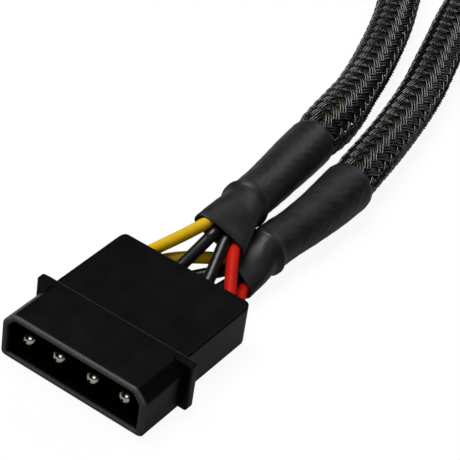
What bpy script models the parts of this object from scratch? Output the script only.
"""Power y-cable: a four-pin male connector, two sleeved legs of four wires, and a female connector on each.

Metres, +Z up. The origin is on the surface that the cable lies on, under the middle of the front face of the
male housing's flange. The mating face of the male housing looks along -Y, and both legs run off along +Y.
"""

import math

import bmesh
import bpy
from mathutils import Matrix, Vector

MM = 0.001

# Clearances
touching_gap = 0.3 * MM
wire_gap = 0.2 * MM
bore_clearance = 0.3 * MM

# How far a cutter runs past what it cuts, and how near a point has to be to count as on a face
cutter_overshoot = 1.0 * MM
on_face = 0.01 * MM

# Terminals, the same pitch on both kinds of connector
pin_pitch = 5.08 * MM
pin_diameter = 2.1 * MM
pin_tip_setback = 1.2 * MM
pin_collar_diameter = 3.4 * MM
pin_collar_length = 0.8 * MM
pin_barrel_diameter = 2.7 * MM
pin_barrel_length = 1.6 * MM
pin_seam_width = 0.26 * MM
pin_seam_length = 5.6 * MM
pin_seam_depth = 0.6 * MM
crimp_width = 1.8 * MM
crimp_length = 3.0 * MM
socket_diameter = 3.2 * MM
socket_wall = 0.45 * MM
socket_length = 7.6 * MM
socket_floor = 0.5 * MM
socket_crimp_height = 2.2 * MM

# Female housing, the plug that fits into the male housing's shroud
plug_end_margin = 2.63 * MM
plug_height = 5.35 * MM
plug_length = 17.0 * MM
plug_corner_across = 1.5 * MM
plug_corner_down = 1.5 * MM
plug_rounding = 0.25 * MM
plug_lip_depth = 1.2 * MM
plug_entry_clearance = 0.8 * MM
plug_cell_clearance = 0.7 * MM
grip_length = 3.4 * MM
grip_proud = 0.8 * MM
grip_setback = 1.2 * MM

# Male housing
plug_clearance = 0.2 * MM
shroud_side_wall = 0.85 * MM
shroud_flat_wall = 0.7 * MM
shroud_depth = 7.8 * MM
shroud_corner_across = 1.6 * MM
shroud_corner_down = 1.7 * MM
shroud_rounding = 0.35 * MM
flange_overhang = 1.1 * MM
flange_thickness = 1.4 * MM
flange_rounding = 0.2 * MM
web_thickness = 2.0 * MM
rear_block_length = 14.3 * MM
rear_block_side_step = 0.75 * MM
rear_block_top_step = 0.35 * MM
rear_block_bottom_step = 0.55 * MM
rear_block_rounding = 0.8 * MM
rear_cell_diameter = 4.4 * MM
floor_pad_height = 0.35 * MM
floor_pad_root = 0.1 * MM
floor_pad_setback = 2.6 * MM
floor_pad_width = 4.0 * MM
least_corner = 0.2 * MM

# Wires, sleeves and heat shrinks
wire_diameter = 1.6 * MM
wire_neck = 8.0 * MM
wire_rise = 5.0 * MM
wire_mouth_step = 2.0 * MM
wire_step = 7.0 * MM
sleeve_diameter = 7.0 * MM
sleeve_wall = 0.3 * MM
sleeve_step = 6.0 * MM
sleeve_opening = 3.0 * MM
shrink_wall = 0.35 * MM
far_wire_gap = 8.0 * MM

# Worked out from the sizes above
pin_places = [(i - 1.5) * pin_pitch for i in range(4)]
plug_width = 3 * pin_pitch + 2 * plug_end_margin
cavity_width = plug_width + 2 * plug_clearance
cavity_height = plug_height + 2 * plug_clearance
shroud_width = cavity_width + 2 * shroud_side_wall
shroud_height = cavity_height + 2 * shroud_flat_wall
pin_height = shroud_height / 2
rim = -shroud_depth
web_front = flange_thickness
web_back = web_front + web_thickness
rear_face = flange_thickness + rear_block_length
pair_spacing = wire_diameter + touching_gap
bundle_offset = (wire_diameter + wire_gap) / 2
bundle_reach = bundle_offset * math.sqrt(2) + wire_diameter / 2
sleeve_tight = bundle_reach + wire_gap + sleeve_wall
shrink_tight = sleeve_tight + wire_gap + shrink_wall

# The centre line of each leg, from the mouth of its near heat shrink to that of its far one, in millimetres
LEFT_ROUTE = [
    (0.2, 22.05, 8.3), (-0.97, 26.9, 8.12), (-2.1, 32.0, 7.35), (-3.1, 38.7, 6.4), (-4.3, 46.0, 5.5),
    (-5.7, 55.0, 4.6), (-6.4, 60.0, 4.2), (-7.3, 64.9, 3.95), (-8.6, 70.6, 3.75), (-9.9, 75.7, 3.7),
    (-11.3, 80.4, 3.7), (-13.4, 86.7, 3.7), (-15.7, 92.8, 3.7), (-18.4, 98.9, 3.7), (-21.1, 105.0, 3.7),
    (-23.8, 111.3, 3.7), (-26.3, 118.0, 3.7), (-28.5, 125.0, 3.7), (-30.4, 132.0, 3.7), (-31.9, 139.0, 3.7),
    (-33.2, 146.0, 3.8), (-34.3, 153.0, 3.75), (-35.2, 160.0, 3.6), (-35.9, 166.0, 3.45), (-36.5, 172.0, 3.3),
]
RIGHT_ROUTE = [
    (2.95, 22.3, 3.35), (3.3, 25.1, 3.3), (3.4, 27.9, 3.42), (3.6, 32.6, 3.55), (4.0, 36.6, 3.7),
    (4.15, 42.2, 3.85), (3.9, 49.3, 4.0), (3.2, 53.7, 3.95), (2.1, 61.0, 3.8), (1.0, 67.3, 3.7),
    (-0.2, 73.4, 3.7), (-1.7, 79.5, 3.7), (-3.6, 85.6, 3.7), (-5.8, 92.7, 3.7), (-8.0, 99.8, 3.7),
    (-9.7, 106.5, 3.7), (-10.8, 113.5, 3.7), (-11.2, 120.5, 3.7), (-11.0, 127.5, 3.7), (-10.3, 134.5, 3.7),
    (-9.3, 141.5, 3.75), (-8.2, 148.0, 3.8), (-7.1, 154.5, 3.7), (-6.2, 160.5, 3.55), (-5.5, 166.0, 3.4),
    (-4.9, 171.5, 3.25),
]

# Distance in millimetres from a heat shrink's mouth to the ridge where the sleeve ends inside it
LEFT_RIDGE = 9.2
RIGHT_RIDGE = 6.6
FAR_RIDGE = 8.8

# A heat shrink's outer surface: distance from the mouth, then how much wider and how much taller than
# shrink_tight, and how many degrees it is rolled about its centre line, its right side downwards. The near
# mouths are pressed flat on a row of four wires.
LEFT_SHRINK = [
    (0.0, 1.03, -1.73, 27.5), (2.0, 0.70, -1.40, 24.0), (5.0, 0.24, -0.50, 13.0), (8.0, -0.08, -0.10, 0.0),
    (LEFT_RIDGE, 0.26, 0.26, 0.0), (10.4, 0.04, 0.04, 0.0), (16.0, 0.04, 0.04, 0.0), (22.0, 0.26, 0.26, 0.0),
    (27.0, 0.42, 0.42, 0.0), (31.5, 0.48, 0.48, 0.0), (32.3, 0.38, 0.38, 0.0),
]
RIGHT_SHRINK = [
    (0.0, 0.85, -1.68, 27.0), (1.8, 0.52, -1.28, 23.0), (4.0, 0.14, -0.62, 12.0), (5.6, -0.12, -0.12, 0.0),
    (RIGHT_RIDGE, 0.24, 0.24, 0.0), (7.7, 0.04, 0.04, 0.0), (13.0, 0.04, 0.04, 0.0), (20.0, 0.38, 0.38, 0.0),
    (24.0, 0.60, 0.60, 0.0), (26.5, 0.70, 0.70, 0.0), (27.3, 0.58, 0.58, 0.0),
]
FAR_SHRINK = [
    (0.0, 0.30, -0.72, 0.0), (2.0, 0.22, -0.56, 0.0), (5.0, 0.0, -0.20, 0.0), (7.6, -0.06, -0.06, 0.0),
    (FAR_RIDGE, 0.25, 0.25, 0.0), (10.0, 0.04, 0.04, 0.0), (16.0, 0.04, 0.04, 0.0), (22.0, 0.30, 0.30, 0.0),
    (27.0, 0.46, 0.46, 0.0), (28.0, 0.36, 0.36, 0.0),
]
# How much wider a sleeve's radius stands than its usual one, at distances from the near mouth, in millimetres
LEFT_SWELL = [(33.0, 0.0), (36.0, 0.3), (39.5, 0.5), (44.0, 0.38), (50.0, 0.0)]
NO_SWELL = [(0.0, 0.0), (1.0, 0.0)]

# Where the four wires lie in a mouth, along its width and its height from its centre, in millimetres
LEFT_FAN = [(-2.55, 0.1), (-0.8, -0.08), (1.0, 0.08), (2.7, -0.02)]
RIGHT_FAN = [(-2.52, 0.05), (-0.83, -0.1), (0.9, 0.1), (2.6, -0.05)]
FAR_FAN = [(-2.05, 0.35), (-0.6, -0.7), (0.6, 0.7), (2.05, -0.35)]
# Each wire's way from the male housing to the near mouth: how far it leans sideways and upwards where it
# leaves its cell, how straight it heads for the mouth, from 0 to 1, and how high it arches on the way.
# Lengths in millimetres.
LEFT_WAYS = [(0.5, 0.2, 0.75, 0.0), (0.5, 0.1, 0.85, 0.0), (0.4, 0.2, 0.85, 0.0), (-0.8, 0.1, 0.7, 0.0)]
RIGHT_WAYS = [(0.6, 0.1, 0.7, 0.85), (0.4, 0.1, 0.6, 0.15), (0.2, 0.0, 0.5, 0.0), (0.3, -0.1, 0.6, 0.0)]

WIRES = ["yellow", "black_1", "black_2", "red"]
BUNDLE = [
    (-bundle_offset, bundle_offset), (-bundle_offset, -bundle_offset),
    (bundle_offset, bundle_offset), (bundle_offset, -bundle_offset),
]

for old in list(bpy.data.objects):
    bpy.data.objects.remove(old, do_unlink=True)

parts = bpy.data.collections.new("power_y_cable")
bpy.context.scene.collection.children.link(parts)


def make_material(name, colour, roughness, metallic=0.0):
    made = bpy.data.materials.new(name)
    made.use_nodes = True
    shader = made.node_tree.nodes["Principled BSDF"]
    shader.inputs["Base Color"].default_value = (*colour, 1.0)
    shader.inputs["Roughness"].default_value = roughness
    shader.inputs["Metallic"].default_value = metallic
    return made


def colours_of(word):
    return {"yellow": (0.58, 0.37, 0.012), "black": (0.008, 0.008, 0.01), "red": (0.6, 0.012, 0.006)}[word]


# Modelling tools

def settle(thing):
    """Turns an object with its modifiers, or a curve, into a plain mesh object of the same name and place."""
    bpy.context.view_layer.update()
    name = thing.name
    view = bpy.context.evaluated_depsgraph_get()
    mesh = bpy.data.meshes.new_from_object(thing.evaluated_get(view))
    mesh.name = name
    place = thing.matrix_world.copy()
    bpy.data.objects.remove(thing, do_unlink=True)
    form = bmesh.new()
    form.from_mesh(mesh)
    bmesh.ops.remove_doubles(form, verts=form.verts, dist=0.001 * MM)
    form.to_mesh(mesh)
    form.free()
    made = bpy.data.objects.new(name, mesh)
    made.matrix_world = place
    parts.objects.link(made)
    return made


def face_outwards(thing):
    form = bmesh.new()
    form.from_mesh(thing.data)
    bmesh.ops.recalc_face_normals(form, faces=form.faces)
    form.to_mesh(thing.data)
    form.free()


def prism(name, outline, front, back):
    """An outline of (x, z) points made solid from y = front to y = back."""
    curve = bpy.data.curves.new(name, "CURVE")
    curve.dimensions = "2D"
    curve.fill_mode = "BOTH"
    curve.extrude = (back - front) / 2
    line = curve.splines.new("POLY")
    line.points.add(len(outline) - 1)
    for point, (x, z) in zip(line.points, outline):
        point.co = (x, z, 0, 1)
    line.use_cyclic_u = True
    flat = bpy.data.objects.new(name, curve)
    parts.objects.link(flat)
    made = settle(flat)
    made.data.transform(Matrix.Translation((0, (front + back) / 2, 0)) @ Matrix.Rotation(math.pi / 2, 4, "X"))
    form = bmesh.new()
    form.from_mesh(made.data)
    bmesh.ops.dissolve_limit(form, angle_limit=math.radians(1), verts=form.verts, edges=form.edges)
    bmesh.ops.recalc_face_normals(form, faces=form.faces)
    form.to_mesh(made.data)
    form.free()
    return made


def soften(thing, width, segments, chosen):
    """Rounds the edges whose two ends both pass the test chosen(x, y, z)."""
    form = bmesh.new()
    form.from_mesh(thing.data)
    edges = [e for e in form.edges if chosen(e.verts[0].co, e.verts[1].co)]
    bmesh.ops.bevel(
        form, geom=edges, offset=width, segments=segments, profile=0.5, affect="EDGES", clamp_overlap=True,
    )
    form.to_mesh(thing.data)
    form.free()
    return thing


def turned(name, profile, sides):
    """A profile of (radius, y) points from axis to axis, turned about the Y axis."""
    mesh = bpy.data.meshes.new(name)
    corners = [(radius, 0, along) for radius, along in profile]
    mesh.from_pydata(corners, [(i, i + 1) for i in range(len(corners) - 1)], [])
    thing = bpy.data.objects.new(name, mesh)
    parts.objects.link(thing)
    screw = thing.modifiers.new("turn", "SCREW")
    screw.axis = "Z"
    screw.steps = sides
    screw.render_steps = sides
    screw.use_merge_vertices = True
    screw.merge_threshold = 0.001 * MM
    made = settle(thing)
    made.data.transform(Matrix.Rotation(-math.pi / 2, 4, "X"))
    face_outwards(made)
    return made


def combine(thing, other, operation):
    """Cuts other out of thing, or joins it on, and takes other away."""
    change = thing.modifiers.new(operation.lower(), "BOOLEAN")
    change.operation = operation
    change.object = other
    made = settle(thing)
    bpy.data.objects.remove(other, do_unlink=True)
    return made


def finish(thing, material):
    thing.data.materials.clear()
    thing.data.materials.append(material)
    thing.data.shade_smooth()
    thing.data.set_sharp_from_angle(angle=math.radians(32))
    return thing


def shift(outline, across, up):
    return [(x + across, z + up) for x, z in outline]


def cut_cornered(width, height, across, down):
    """A rectangle standing on z = 0 with both its top corners cut off."""
    half = width / 2
    return [
        (-half, 0), (half, 0), (half, height - down), (half - across, height),
        (-half + across, height), (-half, height - down),
    ]


def rectangle(width, bottom, top):
    return [(-width / 2, bottom), (width / 2, bottom), (width / 2, top), (-width / 2, top)]


def stadium(width, height):
    """An upright oval with straight sides and round ends, about the origin."""
    radius = width / 2
    straight = max(height / 2 - radius, on_face)
    turns = [math.pi * i / 4 for i in range(5)]
    top = [(radius * math.cos(a), straight + radius * math.sin(a)) for a in turns]
    return top + [(-x, -z) for x, z in top]


# Male housing: shroud, flange and rear block moulded in one

def male_housing():
    body = prism(
        "male_housing",
        cut_cornered(shroud_width, shroud_height, shroud_corner_across, shroud_corner_down),
        rim, flange_thickness / 2,
    )
    soften(body, shroud_rounding, 2, lambda a, b: min(a.y, b.y) < rim + on_face)

    flange_width = shroud_width + 2 * flange_overhang
    flange = prism("flange", rectangle(flange_width, 0, shroud_height), 0, flange_thickness)
    end = flange_width / 2 - on_face
    back = flange_thickness - on_face
    soften(
        flange, flange_rounding, 2,
        lambda a, b: min(abs(a.x), abs(b.x)) > end and a.x * b.x > 0 or min(a.y, b.y) > back,
    )
    block = prism(
        "rear_block",
        rectangle(
            shroud_width - 2 * rear_block_side_step,
            rear_block_bottom_step,
            shroud_height - rear_block_top_step,
        ),
        flange_thickness / 2, rear_face,
    )
    soften(block, rear_block_rounding, 3, lambda a, b: max(a.y, b.y) > rear_face - on_face)
    body = combine(body, flange, "UNION")
    body = combine(body, block, "UNION")

    slope = math.hypot(shroud_corner_across, shroud_corner_down)
    inset = (shroud_side_wall * shroud_corner_down + shroud_flat_wall * shroud_corner_across) / slope
    lost = inset - shroud_flat_wall * (shroud_corner_across + shroud_corner_down - slope) / slope
    cavity = prism(
        "cavity",
        shift(
            cut_cornered(
                cavity_width, cavity_height,
                max(shroud_corner_across - lost, least_corner), max(shroud_corner_down - lost, least_corner),
            ),
            0, shroud_flat_wall,
        ),
        rim - cutter_overshoot, web_front,
    )
    body = combine(body, cavity, "DIFFERENCE")

    for side in (-1, 1):
        pad = prism(
            "floor_pad",
            shift(
                rectangle(floor_pad_width, -floor_pad_root, floor_pad_height),
                side * pin_pitch, shroud_flat_wall,
            ),
            rim + floor_pad_setback, web_front + floor_pad_root,
        )
        body = combine(body, pad, "UNION")

    bore = pin_diameter / 2 + bore_clearance
    cell = rear_cell_diameter / 2
    for place in pin_places:
        tunnel = turned(
            "tunnel",
            [(0, rear_face + cutter_overshoot), (cell, rear_face + cutter_overshoot), (cell, web_back),
             (bore, web_back), (bore, web_front - cutter_overshoot), (0, web_front - cutter_overshoot)],
            16,
        )
        tunnel.data.transform(Matrix.Translation((place, 0, pin_height)))
        body = combine(body, tunnel, "DIFFERENCE")
    return body


# Terminals

def crimp_start():
    return web_back + touching_gap + pin_collar_length + pin_barrel_length


def crimp_end():
    return crimp_start() + crimp_length


def male_pin(name):
    radius = pin_diameter / 2
    tip = rim + pin_tip_setback
    collar = pin_collar_diameter / 2
    barrel = pin_barrel_diameter / 2
    collar_front = web_back + touching_gap
    collar_back = collar_front + pin_collar_length
    body = turned(
        name,
        [(0, crimp_start()), (barrel, crimp_start()), (barrel, collar_back), (collar, collar_back),
         (collar, collar_front), (radius, collar_front), (radius, tip + radius),
         (0.87 * radius, tip + 0.5 * radius), (0.5 * radius, tip + 0.13 * radius), (0, tip)],
        14,
    )
    crimp = prism(
        "crimp", stadium(crimp_width, pair_spacing + wire_diameter),
        crimp_start() - pin_barrel_length / 2, crimp_end(),
    )
    body = combine(body, crimp, "UNION")
    seam = prism(
        "seam", shift(rectangle(pin_seam_width, 0, radius), 0, radius - pin_seam_depth),
        tip - cutter_overshoot, tip + pin_seam_length,
    )
    return combine(body, seam, "DIFFERENCE")


def socket(name):
    """A female terminal in the plug's own frame: its mating face at y = 0, its wire towards +Y."""
    radius = socket_diameter / 2
    bore = radius - socket_wall
    front = plug_lip_depth + touching_gap
    back = front + socket_length
    floor = back - socket_floor
    body = turned(
        name,
        [(0, back), (radius, back), (radius, front), (bore, front), (bore, floor), (0, floor)],
        12,
    )
    crimp = prism(
        "crimp", stadium(crimp_width, socket_crimp_height), back - socket_floor / 2, back + crimp_length,
    )
    return combine(body, crimp, "UNION")


def socket_wire_start():
    return plug_lip_depth + touching_gap + socket_length + crimp_length + touching_gap


# Female housing, modelled once in its own frame: mating face at y = 0, its wires towards +Y, underside on z = 0

def female_housing(name):
    body = prism(
        name, cut_cornered(plug_width, plug_height, plug_corner_across, plug_corner_down), 0, plug_length,
    )
    ends = plug_length - on_face
    soften(body, plug_rounding, 2, lambda a, b: min(a.y, b.y) < on_face or max(a.y, b.y) > ends)
    back = plug_length - grip_setback
    grip = prism(
        "grip", rectangle(plug_width + 2 * grip_proud, 0, plug_height + grip_proud / 2),
        back - grip_length, back,
    )
    soften(grip, plug_rounding, 1, lambda a, b: a.x * b.x > 0 and min(abs(a.x), abs(b.x)) > plug_width / 2)
    body = combine(body, grip, "UNION")
    entry = (pin_diameter + plug_entry_clearance) / 2
    cell = (socket_diameter + plug_cell_clearance) / 2
    for place in pin_places:
        tunnel = turned(
            "tunnel",
            [(0, plug_length + cutter_overshoot), (cell, plug_length + cutter_overshoot),
             (cell, plug_lip_depth), (entry, plug_lip_depth), (entry, -cutter_overshoot),
             (0, -cutter_overshoot)],
            16,
        )
        tunnel.data.transform(Matrix.Translation((place, 0, plug_height / 2)))
        body = combine(body, tunnel, "DIFFERENCE")
    return body


# Legs

def smooth_line(points, steps):
    """A smooth line through the points, with this many steps between each two."""
    path = [Vector(p) * MM for p in points]
    path = [2 * path[0] - path[1], *path, 2 * path[-1] - path[-2]]
    line = []
    for a, b, c, d in zip(path, path[1:], path[2:], path[3:]):
        for i in range(steps):
            u = i / steps
            line.append(
                b + 0.5 * (c - a) * u + (a - 2.5 * b + 2 * c - 0.5 * d) * u ** 2
                + (1.5 * b - 0.5 * a - 1.5 * c + 0.5 * d) * u ** 3
            )
    line.append(path[-2])
    return line


def blend(a, b, share):
    share = min(max(share, 0.0), 1.0)
    share = share * share * (3 - 2 * share)
    return a + (b - a) * share


def read_table(table, distance):
    """Reads the columns of a table after its first, which is a distance in millimetres."""
    place = distance / MM
    for low, high in zip(table, table[1:]):
        if place <= high[0]:
            share = max((place - low[0]) / (high[0] - low[0]), 0.0)
            return [a + (b - a) * share for a, b in zip(low[1:], high[1:])]
    return list(table[-1][1:])


def roll(across, up, degrees):
    """Turns a point of a leg's cross-section about its centre, its right side downwards."""
    angle = math.radians(degrees)
    return (
        across * math.cos(angle) + up * math.sin(angle),
        -across * math.sin(angle) + up * math.cos(angle),
    )


class Leg:
    """One leg's centre line, with places on it given by their distance from the near mouth."""

    def __init__(self, name, route, near_shrink, near_ridge, near_fan, near_ways, swell, level):
        self.name = name
        self.near_ridge = near_ridge
        self.line = smooth_line(route, 8)
        self.marks = [0.0]
        for a, b in zip(self.line, self.line[1:]):
            self.marks.append(self.marks[-1] + (b - a).length)
        self.length = self.marks[-1]
        self.near_shrink = near_shrink
        self.near_fan = near_fan
        self.near_ways = near_ways
        self.swell = swell
        self.level = level

    def place(self, distance):
        """Centre, sideways, upwards and forwards directions."""
        i = 0
        while i < len(self.marks) - 2 and self.marks[i + 1] < distance:
            i += 1
        share = (distance - self.marks[i]) / (self.marks[i + 1] - self.marks[i])
        centre = self.line[i].lerp(self.line[i + 1], min(max(share, 0.0), 1.0))
        before = self.line[max(i - 1, 0)]
        after = self.line[min(i + 2, len(self.line) - 1)]
        forwards = (after - before).normalized()
        sideways = Vector((forwards.y, -forwards.x, 0)).normalized()
        return centre, sideways, sideways.cross(forwards), forwards

    def wire_offset(self, number, distance):
        """A wire's place across the leg: fanned out at both mouths, bundled between them.

        The wires part in height before they draw together.
        """
        if distance < self.length / 2:
            fan, depth = roll(*self.near_fan[number], self.near_shrink[0][3]), distance
        else:
            fan, depth = FAR_FAN[number], self.length - distance
        across, up = BUNDLE[number]
        return blend(fan[0] * MM, across, depth / wire_neck), blend(fan[1] * MM, up, depth / wire_rise)

    def sleeve_ends(self):
        return self.near_ridge * MM + touching_gap, self.length - FAR_RIDGE * MM - touching_gap

    def sleeve_radius(self, distance):
        """Tight inside the heat shrinks, full between them."""
        full = sleeve_diameter / 2 + read_table(self.swell, distance)[0] * MM
        for table, depth in ((self.near_shrink, distance), (FAR_SHRINK, self.length - distance)):
            end = table[-1][0] * MM
            inside = shrink_tight + read_table(table, depth)[0] * MM - shrink_wall - wire_gap
            if depth < end:
                return max(sleeve_tight, min(inside, full))
            if depth < end + sleeve_opening:
                return blend(max(sleeve_tight, min(inside, full)), full, (depth - end) / sleeve_opening)
        return full


def tube(name, points, radii, diameter, capped, resolution):
    """A round tube through the points. Its radius at each point is a share of half the diameter."""
    curve = bpy.data.curves.new(name, "CURVE")
    curve.dimensions = "3D"
    curve.bevel_depth = diameter / 2
    curve.bevel_resolution = resolution
    curve.use_fill_caps = capped
    line = curve.splines.new("POLY")
    line.points.add(len(points) - 1)
    for point, place, radius in zip(line.points, points, radii):
        point.co = (*place, 1)
        point.radius = radius / (diameter / 2)
    thing = bpy.data.objects.new(name, curve)
    parts.objects.link(thing)
    made = settle(thing)
    return made


def sleeve(leg):
    start, end = leg.sleeve_ends()
    near_end = leg.near_shrink[-1][0] * MM
    far_end = leg.length - FAR_SHRINK[-1][0] * MM
    stations = [start + (near_end - start) * i / 4 for i in range(5)]
    opened, closing = near_end + sleeve_opening, far_end - sleeve_opening
    count = round((closing - opened) / sleeve_step)
    stations += [near_end + sleeve_opening / 2]
    stations += [opened + (closing - opened) * i / count for i in range(count + 1)]
    stations += [far_end - sleeve_opening / 2]
    stations += [far_end + (end - far_end) * i / 4 for i in range(5)]
    made = tube(
        f"{leg.name}_sleeve",
        [leg.place(s)[0] for s in stations],
        [leg.sleeve_radius(s) for s in stations],
        sleeve_diameter, False, 4,
    )
    wall = made.modifiers.new("wall", "SOLIDIFY")
    wall.thickness = sleeve_wall
    wall.offset = -1
    return made


def flat_oval(half_width, half_height, angle):
    """A point on an oval. The flatter the oval, the squarer its ends."""
    power = 0.5 + 0.5 * min(half_height / half_width, 1.0)
    across, up = math.cos(angle), math.sin(angle)
    return (
        half_width * math.copysign(abs(across) ** power, across),
        half_height * math.copysign(abs(up) ** power, up),
    )


def heat_shrink(name, leg, table, from_far_end):
    """A thin tube lofted from its oval mouth to the round end that grips the sleeve."""
    sides = 16
    form = bmesh.new()
    rings = []
    for distance, wider, taller, degrees in table:
        along = leg.length - distance * MM if from_far_end else distance * MM
        centre, sideways, upwards, _ = leg.place(along)
        half_width = shrink_tight + wider * MM
        half_height = shrink_tight + taller * MM
        ring = []
        for i in range(sides):
            across, up = roll(*flat_oval(half_width, half_height, 2 * math.pi * i / sides), degrees)
            ring.append(form.verts.new(centre + sideways * across + upwards * up))
        rings.append(ring)
    for low, high in zip(rings, rings[1:]):
        for i in range(sides):
            j = (i + 1) % sides
            corners = (low[i], low[j], high[j], high[i])
            form.faces.new(corners if from_far_end else corners[::-1])
    mesh = bpy.data.meshes.new(name)
    form.to_mesh(mesh)
    form.free()
    made = bpy.data.objects.new(name, mesh)
    parts.objects.link(made)
    wall = made.modifiers.new("wall", "SOLIDIFY")
    wall.thickness = shrink_wall
    wall.offset = -1
    return made


def bend_between(start, start_way, end, end_way, steps):
    """Points on a smooth bend from start to end, without the two ends."""
    reach = (end - start).length
    first, last = start_way.normalized() * reach, end_way.normalized() * reach
    points = []
    for i in range(1, steps):
        u = i / steps
        points.append(
            (2 * u ** 3 - 3 * u ** 2 + 1) * start + (u ** 3 - 2 * u ** 2 + u) * first
            + (3 * u ** 2 - 2 * u ** 3) * end + (u ** 3 - u ** 2) * last
        )
    return points


def way_to_mouth(start, lean_across, lean_up, straight, arch, mouth, mouth_way):
    """A wire's points from the end of its crimp, out of its cell and on to just before the mouth."""
    run = rear_face - start.y
    points = []
    for i in range(5):
        u = i / 4
        points.append(start + Vector((lean_across * MM * u * u, run * u, lean_up * MM * u * u)))
    leave = points[-1]
    ahead = (mouth - leave).normalized()
    leave_way = Vector((2 * lean_across * MM / run, 1, 2 * lean_up * MM / run)).normalized()
    steps = 6
    bend = bend_between(leave, leave_way.lerp(ahead, straight), mouth, mouth_way.lerp(ahead, straight), steps)
    for i, point in enumerate(bend, 1):
        u = i / steps
        points.append(point + Vector((0, 0, 4 * u * (1 - u) * arch * MM)))
    return points


def plug_frame(leg):
    """Places the female housing behind the far mouth: its own +Y points back along the leg."""
    centre, _, _, forwards = leg.place(leg.length)
    heading = Vector((forwards.x, forwards.y, 0)).normalized()
    mating_face = centre + heading * (far_wire_gap + plug_length)
    mating_face.z = 0
    turn = Matrix.Rotation(math.atan2(heading.x, -heading.y), 4, "Z")
    return Matrix.Translation(mating_face) @ turn


def wire_line(leg, number):
    """The points of one wire, from its male terminal through the leg to its female terminal."""
    height = pin_height + leg.level * pair_spacing / 2
    start = Vector((pin_places[number], crimp_end() + touching_gap, height))

    def on_leg(distance):
        centre, sideways, upwards, _ = leg.place(distance)
        across, up = leg.wire_offset(number, distance)
        return centre + sideways * across + upwards * up

    points = way_to_mouth(start, *leg.near_ways[number], on_leg(0), leg.place(0)[3])
    near = [i * wire_mouth_step for i in range(5)]
    first = near[-1] + wire_step
    last = leg.length - first
    count = round((last - first) / wire_step)
    middle = [first + (last - first) * i / count for i in range(count + 1)]
    far = [leg.length - s for s in reversed(near)]
    points += [on_leg(s) for s in near + middle + far]

    frame = plug_frame(leg)
    place = -pin_places[number]
    enter = frame @ Vector((place, plug_length, plug_height / 2))
    stop = frame @ Vector((place, socket_wire_start(), plug_height / 2))
    points += bend_between(points[-1], leg.place(leg.length)[3], enter, stop - enter, 6)
    return [*points, enter, stop]


def wire(name, leg, number):
    points = wire_line(leg, number)
    return tube(name, points, [wire_diameter / 2] * len(points), wire_diameter, True, 2)


housing_plastic = make_material("housing_plastic", (0.009, 0.0095, 0.01), 0.42)
terminal_tin = make_material("terminal_tin", (0.72, 0.69, 0.62), 0.25, 1.0)
shrink_rubber = make_material("shrink_rubber", (0.02, 0.021, 0.023), 0.5)
braid_fibre = make_material("braid_fibre", (0.015, 0.015, 0.017), 0.4)
insulation = {c: make_material(f"{c}_insulation", colours_of(c), 0.3) for c in ("yellow", "black", "red")}

legs = [
    Leg("left", LEFT_ROUTE, LEFT_SHRINK, LEFT_RIDGE, LEFT_FAN, LEFT_WAYS, LEFT_SWELL, 1),
    Leg("right", RIGHT_ROUTE, RIGHT_SHRINK, RIGHT_RIDGE, RIGHT_FAN, RIGHT_WAYS, NO_SWELL, -1),
]

finish(male_housing(), housing_plastic)

for number, colour in enumerate(WIRES):
    pin = finish(male_pin(f"male_pin_{colour}"), terminal_tin)
    pin.location = (pin_places[number], 0, pin_height)

plug_mesh = finish(female_housing("female_housing"), housing_plastic)
socket_mesh = finish(socket("socket"), terminal_tin)
for leg in legs:
    frame = plug_frame(leg)
    housing = bpy.data.objects.new(f"{leg.name}_female_housing", plug_mesh.data)
    housing.matrix_world = frame
    parts.objects.link(housing)
    for number, colour in enumerate(WIRES):
        terminal = bpy.data.objects.new(f"{leg.name}_socket_{colour}", socket_mesh.data)
        terminal.matrix_world = frame @ Matrix.Translation((-pin_places[number], 0, plug_height / 2))
        parts.objects.link(terminal)
    finish(heat_shrink(f"{leg.name}_near_shrink", leg, leg.near_shrink, False), shrink_rubber)
    finish(heat_shrink(f"{leg.name}_far_shrink", leg, FAR_SHRINK, True), shrink_rubber)
    finish(sleeve(leg), braid_fibre)
    for number, colour in enumerate(WIRES):
        finish(wire(f"{leg.name}_wire_{colour}", leg, number), insulation[colour.split("_")[0]])
bpy.data.objects.remove(plug_mesh, do_unlink=True)
bpy.data.objects.remove(socket_mesh, do_unlink=True)
